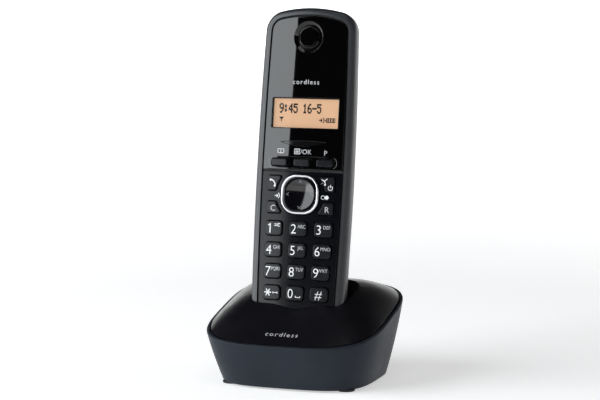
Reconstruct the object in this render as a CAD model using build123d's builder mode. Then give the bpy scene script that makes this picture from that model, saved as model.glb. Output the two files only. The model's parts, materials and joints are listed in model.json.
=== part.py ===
from build123d import *
from math import atan, cos, exp, pi, radians, sin, tan
import os

os.makedirs("parts", exist_ok=True)

# Cordless telephone: a slim handset that stands in a low charging base.
# Millimetres, +Z up, +X to the user's right, -Y towards the user.
# The origin is under the middle of the base, on the surface it stands on.

# ---------------------------------------------------------------- base sizes
BASE_WIDTH = 90.4               # across the rim
BASE_DEPTH = 86.2               # front to back, at the rim
FOOT_WIDTH = 75.0               # across the underside
FOOT_DEPTH = 72.0
SQUARENESS = 3.5                # superellipse exponent of the base's outline
RIM_FRONT_Z = 22.6              # height of the rim at the front
RIM_SLOPE = 0.236               # rise of the rim towards the back
UNDERSIDE_Z = 1.0               # the case stands this far up on its feet
WALL = 2.4                      # wall of the lower case
LIP = 1.5                       # visible width of the wall's top edge
COVER_GAP = 0.6                 # shadow line between the lip and the cover
COVER_SKIN = 2.2
COVER_SEAT = 2.6                # depth of the ledge that the cover rests on
DOME_RISE = 13.6                # crown of the cover above the rim's plane
PLATE_SKIN = 2.0                # bottom plate

# ------------------------------------------------------------- handset sizes
LEAN = 9.03                     # degrees that the docked handset leans back
SEAT_Y = -18.77                 # zero point of the handset's front face
SEAT_Z = 26.98
HANDSET_FOOT = -5.6             # lower end, measured up the face
HANDSET_TOP = 158.9             # upper end
HALF_FOOT = 23.4                # half widths of the barrelled outline
HALF_WAIST = 24.9
HALF_SHOULDER = 23.5
WAIST = 76.0
SHOULDER = 154.9
ARCH_RADIUS = 71.0              # of the outline's upper end
CORNER = 10.5                   # corner radius of the outline
CROWN_RADIUS = 134.0            # the front is this slightly cylindrical
HANDSET_DEPTH = 26.0            # greatest thickness
WIDEST = -5.7                   # depth of the widest line of the sides
PARTING = -9.0                  # depth of the joint between the two cases
CASE_DRAFT = 0.35               # the case draws in by this to the parting
CASE_WALL = 1.8
RIM_WIDTH = 3.5                 # the front case's border beside the panels
PANEL_INSET = 4.3               # outline to the edge of the panels
PANEL_BACK = -3.2               # depth of the panels' flat backs
FLOOR_BACK = -4.6               # back of the front case's floor
FASCIA_FOOT = 78.4              # lower edge of the glossy upper panel
BEZEL_TOP = 77.7                # upper edge of the keypad panel

# ------------------------------------------------------------------ keys
DIAL_TOP = 49.45                # centre of the first dial row
DIAL_PITCH = 10.58              # between dial rows
COLUMN_PITCH = 12.9             # between columns at the first row
COLUMN_TAPER = 0.21             # the columns close up by this much a row
KEY_SIZE = (8.9, 7.1)
KEY_CORNER = 1.7
KEY_GAP = 0.45                  # clearance round every key
KEY_PROUD = 0.85                # key tops above the crown
KEY_TRAVEL = 0.7
FLANGE = 0.45                   # a key's flange beyond its hole
FLANGE_TOP = -4.75
FLANGE_BACK = -5.4
PILL_TOP = -6.2                 # tips of the membrane's pills
SHEET_TOP = -6.7                # the membrane's sheet
SHEET_BACK = -7.1
BOARD_BACK = -8.7
SOFT_V = 82.05                  # row of three keys under the display
SOFT_PITCH = 11.8
SOFT_SIZE = (8.1, 3.5)
NAV_V = 66.4                    # centre of the round key
RING_RADIUS = 9.7
NAV_RADIUS = 8.5
NAV_HOLE = 10.2
NAV_FLAT = 2.1                  # half of each straight side of its rounded square
SIDE_ARC = 12.9                 # the four keys beside it are cut to this arc

# ---------------------------------------------------------------- frames
LEAN_RAD = radians(LEAN)
FACE = Plane(
    origin=(0, SEAT_Y, SEAT_Z),
    x_dir=(1, 0, 0),
    z_dir=(0, -cos(LEAN_RAD), sin(LEAN_RAD)),
)
SIDE = Plane(origin=FACE.origin, x_dir=FACE.y_dir, z_dir=(1, 0, 0))
OUTWARD = Axis(FACE.origin, FACE.z_dir)
UPWARD = Axis(FACE.origin, FACE.y_dir)
RIM_ANGLE = atan(RIM_SLOPE)
RIM_MID_Z = RIM_FRONT_Z + RIM_SLOPE * BASE_DEPTH / 2
RIM = Plane(
    origin=(0, 0, RIM_MID_Z),
    x_dir=(1, 0, 0),
    z_dir=(0, -sin(RIM_ANGLE), cos(RIM_ANGLE)),
)


def face(depth):
    """Plane parallel to the handset's front; its local axes are x and v."""
    return FACE.offset(depth)


def across(v):
    """Plane square to the handset's length at v; its local axes are x and h."""
    origin = FACE.from_local_coords(Vector(0, v, 0))
    return Plane(origin=origin, x_dir=(1, 0, 0), z_dir=-FACE.y_dir)


def superellipse(half_x, half_y):
    """Closed sketch of the base's rounded-square outline."""
    steps = 48
    power = 2 / SQUARENESS
    points = []
    for step in range(steps):
        angle = 2 * pi * step / steps
        c = cos(angle)
        s = sin(angle)
        x = half_x * abs(c) ** power * (1 if c >= 0 else -1)
        y = half_y * abs(s) ** power * (1 if s >= 0 else -1)
        points.append((x, y))
    with BuildSketch() as outline:
        with BuildLine():
            Spline(*points, periodic=True)
        make_face()
    return outline.sketch


def handset_outline(inset):
    """Barrelled outline of the handset, drawn in by the inset."""
    foot = HANDSET_FOOT + inset
    half_foot = HALF_FOOT - inset
    half_waist = HALF_WAIST - inset
    half_top = HALF_SHOULDER - inset
    arch = ARCH_RADIUS - inset
    shoulder = HANDSET_TOP - ARCH_RADIUS + (arch**2 - half_top**2) ** 0.5
    with BuildSketch() as outline:
        with BuildLine():
            ThreePointArc((half_foot, foot), (half_waist, WAIST), (half_top, shoulder))
            ThreePointArc((half_top, shoulder), (0, HANDSET_TOP - inset), (-half_top, shoulder))
            ThreePointArc((-half_top, shoulder), (-half_waist, WAIST), (-half_foot, foot))
            Line((-half_foot, foot), (half_foot, foot))
        make_face()
        fillet(outline.vertices(), CORNER - inset)
    return outline.sketch


def crown_block(rise):
    """Everything behind the slightly cylindrical front, raised by rise."""
    half = 30.0
    radius = CROWN_RADIUS + rise
    edge = (radius**2 - half**2) ** 0.5 - CROWN_RADIUS
    with BuildPart() as block:
        with BuildSketch(across(HANDSET_TOP + 5)):
            with BuildLine():
                ThreePointArc((-half, edge), (0, rise), (half, edge))
                Polyline((half, edge), (half, -30), (-half, -30), (-half, edge))
            make_face()
        extrude(amount=HANDSET_TOP - HANDSET_FOOT + 10)
    return block.part


def grown(outline, amount):
    """A copy of a flat outline, offset outwards."""
    with BuildSketch() as bigger:
        add(outline)
        offset(amount=amount)
    return bigger.sketch


def rounded(x, v, width, height, corner):
    """Rounded rectangle centred at x, v on the face."""
    with BuildSketch() as outline:
        with Locations((x, v)):
            RectangleRounded(width, height, corner)
    return outline.sketch


def cushion(radius, mode=Mode.ADD):
    """Rounded square of the navigation key, by the radius to its sides."""
    return RectangleRounded(2 * radius, 2 * radius, radius - NAV_FLAT, mode=mode)


def side_key(side, low, high):
    """Key beside the round key; its inner edge follows the ring."""
    outer = 17.2
    inner = 6.0
    with BuildSketch() as outline:
        with Locations((side * (outer + inner) / 2, (low + high) / 2)):
            Rectangle(outer - inner, high - low)
        with Locations((0, NAV_V)):
            Circle(SIDE_ARC, mode=Mode.SUBTRACT)
        fillet(outline.vertices(), 0.9)
    return outline.sketch


# ---------------------------------------------------- key outlines, by name
key_outlines = {}
key_spots = [(-13.2, 71.8), (13.2, 71.8), (-13.2, 59.9), (13.2, 59.9)]
DIAL_NAMES = ["1", "2", "3", "4", "5", "6", "7", "8", "9", "star", "0", "hash"]
for index, mark in enumerate(DIAL_NAMES):
    row, column = divmod(index, 3)
    key_x = (column - 1) * (COLUMN_PITCH - COLUMN_TAPER * row)
    key_v = DIAL_TOP - DIAL_PITCH * row
    key_outlines[f"key_{mark}"] = rounded(key_x, key_v, *KEY_SIZE, KEY_CORNER)
    key_spots.append((key_x, key_v))
key_outlines["talk_key"] = side_key(-1, 68.1, 75.4)
key_outlines["off_key"] = side_key(1, 68.1, 75.4)
key_outlines["clear_key"] = side_key(-1, 56.9, 62.7)
key_outlines["recall_key"] = side_key(1, 56.9, 62.7)
SOFT_NAMES = ["phonebook_key", "menu_key", "pause_key"]
for index, name in enumerate(SOFT_NAMES):
    key_outlines[name] = rounded((index - 1) * SOFT_PITCH, SOFT_V, *SOFT_SIZE, 0.9)
    key_spots.append(((index - 1) * SOFT_PITCH, SOFT_V))

crown_flush = crown_block(0)
crown_rim = crown_block(-0.15)
crown_bezel = crown_block(-0.35)
crown_keys = crown_block(KEY_PROUD)

# ------------------------------------------------------------------- keys
for name, outline in key_outlines.items():
    with BuildPart() as key:
        with BuildSketch(face(FLANGE_TOP)):
            add(outline)
        extrude(amount=KEY_PROUD + 1 - FLANGE_TOP)
        add(crown_keys, mode=Mode.INTERSECT)
        top_edges = key.faces().sort_by(OUTWARD)[-1].edges()
        fillet(top_edges, 0.5)
        with BuildSketch(face(FLANGE_BACK)):
            add(grown(outline, KEY_GAP + FLANGE))
        extrude(amount=FLANGE_TOP - FLANGE_BACK)
    key.part.label = name
    export_step(key.part, f"parts/{name}.step")


# ------------------------------------------------------- rear case's hull
TOP_END = 13.0                  # length over which the back rounds off at the top
FOOT_END = 4.0                  # the same at the lower end
HULL_STEP = 0.5                 # the rear case's edge, inside the widest line
HULL_STATIONS = [-4.6, -3.7, -2.2, 2, 10, 30, 60, 95, 125, 143, 150, 154.5, 157.4, 158.8]


def barrel(v):
    """Half width of the handset at v, without its rounded ends."""
    span = WAIST - HANDSET_FOOT
    edge = HALF_FOOT
    if v > WAIST:
        span = SHOULDER - WAIST
        edge = HALF_SHOULDER
    return HALF_WAIST - (HALF_WAIST - edge) * ((v - WAIST) / span) ** 2


def end_taper(v):
    """Shrinks the hull's sections towards both ends, as an ellipse does."""
    top = (v - HANDSET_TOP + TOP_END) / TOP_END
    foot = (HANDSET_FOOT + FOOT_END - v) / FOOT_END
    past = max(top, foot, 0)
    return (1 - past**2.4) ** 0.5


def hull_depth(v):
    """Thickness of the handset behind its front face at v."""
    belly = 1 - 0.20 * ((v - 62) / 80) ** 2 - 0.055 * max(0, (v - 95) / 40) ** 2
    return HANDSET_DEPTH * belly


def hull(inset, mouth):
    """The rear case's rounded body, drawn in by the inset and open at mouth."""
    middle = (HANDSET_TOP + HANDSET_FOOT) / 2
    scale = 1 - 2 * inset / (HANDSET_TOP - HANDSET_FOOT)
    with BuildPart() as body:
        for v in HULL_STATIONS:
            half = (barrel(v) - HULL_STEP - inset) * end_taper(v)
            back = PARTING - (hull_depth(v) + PARTING - inset) * end_taper(v)
            flank = PARTING + 0.62 * (back - PARTING)
            with BuildSketch(across(middle + (v - middle) * scale)):
                with BuildLine():
                    Polyline((-half, PARTING), (-half, mouth), (half, mouth), (half, PARTING))
                    Bezier((half, PARTING), (0.94 * half, flank), (0.62 * half, back), (0, back))
                    Bezier((0, back), (-0.62 * half, back), (-0.94 * half, flank), (-half, PARTING))
                make_face()
        loft()
    return body.part


hull_outer = hull(0, PARTING + 0.01)
hull_inner = hull(CASE_WALL, PARTING + 1)

# ------------------------------------------------------------- front case
NAV_PIN_RADIUS = 0.6
NAV_AXIS_H = -4.0               # depth of the round key's two tilt axes
LCD_V = 106.6                   # centre of the display
LCD_WINDOW = (34.8, 15.2)
LCD_GLASS = (38.0, 20.0)
LCD_TOP = -2.5
LCD_BACK = -5.4
EAR_V = 144.1                   # centre of the earpiece
EAR_RADIUS = 7.9
BOSS_V = 88.9                   # two screws hold the cases together
BOSS_X = 10.5
BAY_V = 60.5                    # battery bay
BAY_SIZE = (37.0, 63.5)
BAY_FLOOR = -12.2
BAY_SKIN = 1.3
CONTACT_X = 8.0                 # charging contacts
CONTACT_H = -12.4
MIC_X = 7.0
MIC_V = 4.5

with BuildPart() as front_case:
    with BuildSketch(face(WIDEST)):
        add(handset_outline(0))
    extrude(amount=1 - WIDEST)
    with BuildSketch(face(WIDEST)):
        add(handset_outline(0))
    with BuildSketch(face(PARTING + 0.05)):
        add(handset_outline(CASE_DRAFT))
    loft(ruled=True)
    add(crown_rim, mode=Mode.INTERSECT)
    fillet(front_case.faces().sort_by(OUTWARD)[-1].edges(), 2.9)
    with BuildSketch(face(PANEL_BACK)):
        add(handset_outline(RIM_WIDTH))
    extrude(amount=5, mode=Mode.SUBTRACT)
    with BuildSketch(face(PARTING)):
        add(handset_outline(CASE_WALL + 0.5))
    extrude(amount=FLOOR_BACK - PARTING, mode=Mode.SUBTRACT)
    with BuildSketch(face(FLOOR_BACK)):
        for outline in key_outlines.values():
            add(grown(outline, KEY_GAP))
        with Locations((0, NAV_V)):
            cushion(NAV_HOLE)
        with Locations((0, LCD_V)):
            Rectangle(LCD_GLASS[0] + 0.6, LCD_GLASS[1] + 0.6)
        with Locations((0, EAR_V)):
            Circle(5.2)
    extrude(amount=PANEL_BACK - FLOOR_BACK, mode=Mode.SUBTRACT)
    with BuildSketch(face(FLOOR_BACK)):
        with Locations((MIC_X, MIC_V)):
            Circle(0.6)
        with Locations((0, NAV_V)):
            Rectangle(2 * NAV_HOLE + 4.4, 2 * NAV_PIN_RADIUS + 0.16)
    extrude(amount=PANEL_BACK - FLOOR_BACK, mode=Mode.SUBTRACT)
    with BuildSketch(face(BAY_FLOOR + BAY_SKIN)):
        with Locations((-BOSS_X, BOSS_V), (BOSS_X, BOSS_V)):
            Circle(2.5)
    extrude(amount=FLOOR_BACK - BAY_FLOOR - BAY_SKIN)
    with BuildSketch(face(BAY_FLOOR + BAY_SKIN)):
        with Locations((-BOSS_X, BOSS_V), (BOSS_X, BOSS_V)):
            Circle(1.05)
    extrude(amount=6, mode=Mode.SUBTRACT)
front_case.part.label = "front_case"
export_step(front_case.part, "parts/front_case.step")

# ------------------------------------------------- battery bay and rear case
with BuildPart() as bay:
    with BuildSketch(face(-30)):
        with Locations((0, BAY_V)):
            RectangleRounded(BAY_SIZE[0] + 2.4, BAY_SIZE[1] + 2.4, 4.2)
    extrude(amount=30 + BAY_FLOOR + BAY_SKIN)
    add(hull_outer, mode=Mode.INTERSECT)

GRILLE_V = 112.0                # ringer's sound slots
with BuildPart() as rear_case:
    add(hull_outer)
    add(hull_inner, mode=Mode.SUBTRACT)
    add(bay.part)
    with BuildSketch(face(-30)):
        with Locations((0, BAY_V)):
            RectangleRounded(*BAY_SIZE, 3)
    extrude(amount=30 + BAY_FLOOR, mode=Mode.SUBTRACT)
    with BuildSketch(face(BAY_FLOOR)):
        with Locations((0, 79.2)):
            Rectangle(23, 1.4)
    extrude(amount=-7.5)
    with BuildSketch(face(BAY_FLOOR)):
        with Locations((-BOSS_X, BOSS_V), (BOSS_X, BOSS_V)):
            Circle(1.25)
    extrude(amount=BAY_SKIN, mode=Mode.SUBTRACT)
    with BuildSketch(face(-30)):
        with Locations((0, GRILLE_V)):
            with GridLocations(0, 2.6, 1, 5):
                SlotOverall(11, 1.2)
    extrude(amount=12, mode=Mode.SUBTRACT)
rear_case.part.label = "rear_case"
export_step(rear_case.part, "parts/rear_case.step")

COVER_SLACK = 0.25
with BuildPart() as battery_cover:
    with BuildSketch(face(-30)):
        with Locations((0, BAY_V)):
            RectangleRounded(BAY_SIZE[0] - 2 * COVER_SLACK, BAY_SIZE[1] - 2 * COVER_SLACK, 2.8)
    extrude(amount=30 + BAY_FLOOR - 1)
    add(hull_outer, mode=Mode.INTERSECT)
    add(hull_inner, mode=Mode.SUBTRACT)
    with BuildSketch(face(-30)):
        with Locations((0, BAY_V + 22)):
            with GridLocations(0, 2.2, 1, 4):
                SlotOverall(13, 0.9)
    extrude(amount=5.0, mode=Mode.SUBTRACT)
battery_cover.part.label = "battery_cover"
export_step(battery_cover.part, "parts/battery_cover.step")

# ------------------------------------------------------------ front panels
panel_outline = handset_outline(PANEL_INSET)
SMILE_HALF = 11.8
SMILE_LENS_GAP = 0.15
EAR_ISLAND = 4.6


def crescent(sag_low, sag_high, v):
    """Smile-shaped outline between two shallow arcs through the same ends."""
    with BuildSketch() as outline:
        with BuildLine():
            ThreePointArc((-SMILE_HALF, v), (0, v - sag_low), (SMILE_HALF, v))
            ThreePointArc((SMILE_HALF, v), (0, v - sag_high), (-SMILE_HALF, v))
        make_face()
    return outline.sketch


smile_hole = crescent(2.2, -0.6, 92.3)

with BuildPart() as front_fascia:
    with BuildSketch(face(PANEL_BACK)):
        add(panel_outline)
        with Locations((0, FASCIA_FOOT - 50)):
            Rectangle(60, 100, mode=Mode.SUBTRACT)
    extrude(amount=4)
    add(crown_flush, mode=Mode.INTERSECT)
    fillet(front_fascia.faces().sort_by(OUTWARD)[-1].edges(), 0.45)
    with BuildSketch(face(PANEL_BACK)):
        with Locations((0, LCD_V)):
            RectangleRounded(*LCD_WINDOW, 0.7)
        for name in SOFT_NAMES:
            add(grown(key_outlines[name], KEY_GAP))
        add(smile_hole)
    extrude(amount=4, mode=Mode.SUBTRACT)
    with BuildSketch(face(PANEL_BACK)):
        with Locations((0, LCD_V)):
            Rectangle(LCD_GLASS[0] + 0.4, LCD_GLASS[1] + 0.4)
    extrude(amount=LCD_TOP + 0.1 - PANEL_BACK, mode=Mode.SUBTRACT)
    with BuildSketch(face(-0.65)):
        with Locations((0, SOFT_V + 0.2)):
            SlotOverall(35.2, 5.6)
    extrude(amount=2, mode=Mode.SUBTRACT)
    with BuildSketch(Plane(FACE.from_local_coords(Vector(0, EAR_V, 0)), (1, 0, 0), -FACE.y_dir)):
        with BuildLine():
            Spline(
                (EAR_ISLAND, 0.6),
                (EAR_ISLAND + 0.5, -1.5),
                (EAR_RADIUS, 0.02),
                tangents=[(0, -1), (1, 0.55)],
            )
            Polyline((EAR_RADIUS, 0.02), (EAR_RADIUS, 0.6), (EAR_ISLAND, 0.6))
        make_face()
    revolve(axis=Axis(FACE.from_local_coords(Vector(0, EAR_V, 0)), FACE.z_dir), mode=Mode.SUBTRACT)
    with BuildSketch(face(PANEL_BACK)):
        with Locations((0, EAR_V)):
            with PolarLocations(EAR_ISLAND + 0.35, 2):
                Rectangle(1.0, 3.4)
    extrude(amount=4, mode=Mode.SUBTRACT)
front_fascia.part.label = "front_fascia"
export_step(front_fascia.part, "parts/front_fascia.step")

with BuildPart() as keypad_bezel:
    with BuildSketch(face(PANEL_BACK)):
        add(panel_outline)
        with Locations((0, BEZEL_TOP + 50)):
            Rectangle(60, 100, mode=Mode.SUBTRACT)
    extrude(amount=4)
    add(crown_bezel, mode=Mode.INTERSECT)
    fillet(keypad_bezel.faces().sort_by(OUTWARD)[-1].edges(), 0.3)
    with BuildSketch(face(PANEL_BACK)):
        for name, outline in key_outlines.items():
            if name not in SOFT_NAMES:
                add(grown(outline, KEY_GAP))
        with Locations((0, NAV_V)):
            cushion(NAV_HOLE)
        with Locations((MIC_X, MIC_V)):
            Circle(0.6)
    extrude(amount=4, mode=Mode.SUBTRACT)
keypad_bezel.part.label = "keypad_bezel"
export_step(keypad_bezel.part, "parts/keypad_bezel.step")

with BuildPart() as signal_lens:
    with BuildSketch(face(PANEL_BACK)):
        add(grown(smile_hole, -SMILE_LENS_GAP))
    extrude(amount=4)
    add(crown_block(-0.55), mode=Mode.INTERSECT)
signal_lens.part.label = "signal_lens"
export_step(signal_lens.part, "parts/signal_lens.step")

with BuildPart() as lcd_window:
    with BuildSketch(face(-1.4)):
        add(rounded(0, LCD_V, LCD_WINDOW[0] - 0.1, LCD_WINDOW[1] - 0.1, 0.65))
    extrude(amount=2)
    add(crown_block(-0.05), mode=Mode.INTERSECT)
lcd_window.part.label = "lcd_window"
export_step(lcd_window.part, "parts/lcd_window.step")

with BuildPart() as lcd_panel:
    with BuildSketch(face(LCD_BACK)):
        with Locations((0, LCD_V)):
            Rectangle(*LCD_GLASS)
    extrude(amount=LCD_TOP - LCD_BACK)
lcd_panel.part.label = "lcd_panel"
export_step(lcd_panel.part, "parts/lcd_panel.step")

with BuildPart() as backlight:
    with BuildSketch(face(SHEET_BACK)):
        with Locations((0, LCD_V)):
            RectangleRounded(LCD_GLASS[0] + 2, LCD_GLASS[1] + 2, 1)
    extrude(amount=LCD_BACK - SHEET_BACK)
    with BuildSketch(face(SHEET_BACK)):
        with Locations((0, LCD_V)):
            Rectangle(LCD_GLASS[0] - 4, LCD_GLASS[1] - 4)
    extrude(amount=0.8, mode=Mode.SUBTRACT)
backlight.part.label = "backlight"
export_step(backlight.part, "parts/backlight.step")

# ------------------------------------------------------- round key, two axes
POST_RADIUS = 3.2
CARRIER_INNER = 3.6
CARRIER_OUTER = 7.2
PIN_FIT = 0.07                  # running clearance of the tilt pins

with BuildPart() as nav_key:
    with BuildSketch(face(NAV_AXIS_H - 0.9)):
        with Locations((0, NAV_V)):
            Circle(POST_RADIUS)
    extrude(amount=-1.6 - NAV_AXIS_H + 0.9)
    with BuildSketch(face(-1.9)):
        with Locations((0, NAV_V)):
            cushion(NAV_RADIUS)
    extrude(amount=2.7)
    fillet(nav_key.faces().sort_by(OUTWARD)[-1].edges(), 0.5)
    dish_centre = FACE.from_local_coords(Vector(0, NAV_V, 38.0))
    with Locations(dish_centre):
        Sphere(37.95, mode=Mode.SUBTRACT)
    pin_start = Plane(FACE.from_local_coords(Vector(0, NAV_V - 5.4, NAV_AXIS_H)), (1, 0, 0), FACE.y_dir)
    with BuildSketch(pin_start):
        Circle(NAV_PIN_RADIUS)
    extrude(amount=10.8)
nav_key.part.label = "nav_key"
export_step(nav_key.part, "parts/nav_key.step")

with BuildPart() as nav_ring:
    with BuildSketch(face(-1.9)):
        with Locations((0, NAV_V)):
            cushion(RING_RADIUS)
            cushion(NAV_RADIUS, Mode.SUBTRACT)
    extrude(amount=2.75)
    fillet(nav_ring.faces().sort_by(OUTWARD)[-1].edges(), 0.45)
nav_ring.part.label = "nav_ring"
export_step(nav_ring.part, "parts/nav_ring.step")

with BuildPart() as nav_carrier:
    with BuildSketch(face(NAV_AXIS_H - 1.2)):
        with Locations((0, NAV_V)):
            Circle(CARRIER_OUTER)
            Circle(CARRIER_INNER, mode=Mode.SUBTRACT)
    extrude(amount=2.1)
    with BuildSketch(Plane(FACE.from_local_coords(Vector(-11.8, NAV_V, NAV_AXIS_H)), (0, 1, 0), (1, 0, 0))):
        Circle(NAV_PIN_RADIUS)
    extrude(amount=23.6)
    with BuildSketch(face(NAV_AXIS_H - 1.2)):
        with Locations((0, NAV_V)):
            Circle(CARRIER_INNER)
    extrude(amount=3, mode=Mode.SUBTRACT)
    with BuildSketch(pin_start):
        Circle(NAV_PIN_RADIUS + PIN_FIT)
    extrude(amount=10.8, mode=Mode.SUBTRACT)
nav_carrier.part.label = "nav_carrier"
export_step(nav_carrier.part, "parts/nav_carrier.step")

# ----------------------------------------------------- handset's inner parts
BOARD_INSET = 4.6
BOARD_TOP = 133.0
boss_spots = [(-BOSS_X, BOSS_V), (BOSS_X, BOSS_V)]

with BuildPart() as keypad_membrane:
    with BuildSketch(face(SHEET_BACK)):
        with Locations((0, 48.0)):
            RectangleRounded(36, 76, 2)
        with Locations(*boss_spots):
            Circle(3.1, mode=Mode.SUBTRACT)
    extrude(amount=SHEET_TOP - SHEET_BACK)
    with BuildSketch(face(SHEET_TOP)):
        with Locations(*key_spots):
            Circle(1.6)
        with Locations((0, NAV_V)):
            with PolarLocations(4.9, 4, 45):
                Circle(0.9)
    extrude(amount=PILL_TOP - SHEET_TOP)
keypad_membrane.part.label = "keypad_membrane"
export_step(keypad_membrane.part, "parts/keypad_membrane.step")

with BuildPart() as handset_board:
    with BuildSketch(face(BOARD_BACK)):
        add(handset_outline(BOARD_INSET))
        with Locations((0, BOARD_TOP + 25)):
            Rectangle(60, 50, mode=Mode.SUBTRACT)
        with Locations(*boss_spots):
            Circle(3.0, mode=Mode.SUBTRACT)
    extrude(amount=SHEET_BACK - BOARD_BACK)
handset_board.part.label = "handset_board"
export_step(handset_board.part, "parts/handset_board.step")

with BuildPart() as radio_shield:
    with BuildSketch(face(BOARD_BACK - 2.4)):
        with Locations((4, 113)):
            RectangleRounded(22, 18, 0.8)
    extrude(amount=2.4)
    with BuildSketch(face(BOARD_BACK - 2.1)):
        with Locations((4, 113)):
            Rectangle(21.2, 17.2)
    extrude(amount=2.1, mode=Mode.SUBTRACT)
radio_shield.part.label = "radio_shield"
export_step(radio_shield.part, "parts/radio_shield.step")

with BuildPart() as receiver_speaker:
    with BuildSketch(face(-8.6)):
        with Locations((0, EAR_V)):
            Circle(7.2)
    extrude(amount=3.5)
    with BuildSketch(face(-9.8)):
        with Locations((0, EAR_V)):
            Circle(4.6)
    extrude(amount=1.2)
receiver_speaker.part.label = "receiver_speaker"
export_step(receiver_speaker.part, "parts/receiver_speaker.step")

with BuildPart() as receiver_gasket:
    with BuildSketch(face(-5.1)):
        with Locations((0, EAR_V)):
            Circle(7.2)
            Circle(5.0, mode=Mode.SUBTRACT)
    extrude(amount=FLOOR_BACK + 5.1)
receiver_gasket.part.label = "receiver_gasket"
export_step(receiver_gasket.part, "parts/receiver_gasket.step")

with BuildPart() as microphone:
    with BuildSketch(face(SHEET_BACK)):
        with Locations((MIC_X, MIC_V)):
            Circle(2.0)
    extrude(amount=FLOOR_BACK - SHEET_BACK)
microphone.part.label = "microphone"
export_step(microphone.part, "parts/microphone.step")

with BuildPart() as ringer_speaker:
    with BuildSketch(face(-20.5)):
        with Locations((0, GRILLE_V)):
            Circle(8.0)
    extrude(amount=3.0)
    with BuildSketch(face(-17.5)):
        with Locations((0, GRILLE_V)):
            Circle(5.2)
    extrude(amount=1.6)
ringer_speaker.part.label = "ringer_speaker"
export_step(ringer_speaker.part, "parts/ringer_speaker.step")

CELL_RADIUS = 5.25
CELL_LENGTH = 44.5
CELL_FOOT = 33.2
CELL_X = 5.45
CELL_H = BAY_FLOOR - CELL_RADIUS - 0.1
with BuildPart() as battery_cells:
    for side in (-1, 1):
        foot = FACE.from_local_coords(Vector(side * CELL_X, CELL_FOOT, CELL_H))
        with BuildSketch(Plane(foot, (1, 0, 0), FACE.y_dir)):
            Circle(CELL_RADIUS)
        extrude(amount=CELL_LENGTH - 0.9)
        nub_v = CELL_FOOT + CELL_LENGTH - 0.9
        nub = FACE.from_local_coords(Vector(side * CELL_X, nub_v, CELL_H))
        with BuildSketch(Plane(nub, (1, 0, 0), FACE.y_dir)):
            Circle(1.9)
        extrude(amount=0.9)
    fillet(battery_cells.edges().filter_by(GeomType.CIRCLE).filter_by(lambda e: e.radius > 5), 0.5)
battery_cells.part.label = "battery_cells"
export_step(battery_cells.part, "parts/battery_cells.step")

SPRING_FOOT = CELL_FOOT - 4.2
with BuildPart() as battery_contacts:
    for side in (-1, 1):
        spot = side * CELL_X
        base = FACE.from_local_coords(Vector(spot, SPRING_FOOT, CELL_H))
        with BuildSketch(Plane(base, (1, 0, 0), FACE.y_dir)):
            RectangleRounded(8.4, 8.4, 1)
        extrude(amount=0.4)
        for turn in range(4):
            coil_v = SPRING_FOOT + 0.4 + 0.85 * turn
            coil = Plane(FACE.from_local_coords(Vector(spot, coil_v, CELL_H)), (1, 0, 0), FACE.y_dir)
            with BuildSketch(coil):
                Circle(3.3 - 0.4 * turn)
                Circle(2.3 - 0.4 * turn, mode=Mode.SUBTRACT)
            extrude(amount=0.9)
        cap_v = CELL_FOOT + CELL_LENGTH + 0.05
        with BuildSketch(Plane(FACE.from_local_coords(Vector(spot, cap_v, CELL_H)), (1, 0, 0), FACE.y_dir)):
            RectangleRounded(7.6, 7.6, 1)
        extrude(amount=0.4)
battery_contacts.part.label = "battery_contacts"
export_step(battery_contacts.part, "parts/battery_contacts.step")

with BuildPart() as charge_contacts:
    for side in (-1, 1):
        foot = FACE.from_local_coords(Vector(side * CONTACT_X, -5.0, CONTACT_H))
        with BuildSketch(Plane(foot, (1, 0, 0), FACE.y_dir)):
            RectangleRounded(4.4, 4.0, 0.6)
        extrude(amount=0.4)
charge_contacts.part.label = "charge_contacts"
export_step(charge_contacts.part, "parts/charge_contacts.step")

with BuildPart() as handset_screws:
    with BuildSketch(face(BAY_FLOOR - 1.3)):
        with Locations(*boss_spots):
            Circle(2.1)
    extrude(amount=1.3)
    with BuildSketch(face(BAY_FLOOR - 1.3)):
        with Locations(*boss_spots):
            Rectangle(2.6, 0.5)
            Rectangle(0.5, 2.6)
    extrude(amount=0.6, mode=Mode.SUBTRACT)
    with BuildSketch(face(BAY_FLOOR)):
        with Locations(*boss_spots):
            Circle(1.0)
    extrude(amount=5)
handset_screws.part.label = "handset_screws"
export_step(handset_screws.part, "parts/handset_screws.step")

# -------------------------------------------------------------- base: shell
PLATE_TOP = UNDERSIDE_Z + PLATE_SKIN
POCKET_FOOT = -5.9              # floor of the handset's pocket, in v
POCKET_HALF = 24.9
POCKET_FRONT = 0.75             # front and back of the pocket, in h
POCKET_BACK = -25.7
CUP_SKIN = 1.8
# The pocket's mouth opens out step by step: end height and angle of each.
POCKET_FLARES = [(14, 0), (16, 6), (18, 11), (20, 16), (22, 21), (24, 25), (28, 30)]
SCREW_SPOTS = [(-27.0, -23.6), (27.0, -23.6), (-27.0, 23.6), (27.0, 23.6)]
FOOT_SPOTS = [(-29.8, -25.4), (29.8, -25.4), (-29.8, 25.4), (29.8, 25.4)]
LINE_X = -14.0                  # telephone line socket, in the rear wall
DC_X = 12.0                     # power inlet, in the rear wall
JACK_Z = 12.2
LOCATOR = Vector(20.0, 0, 25.5)


def rim_height(y):
    return RIM_MID_Z + RIM_SLOPE * y


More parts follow.
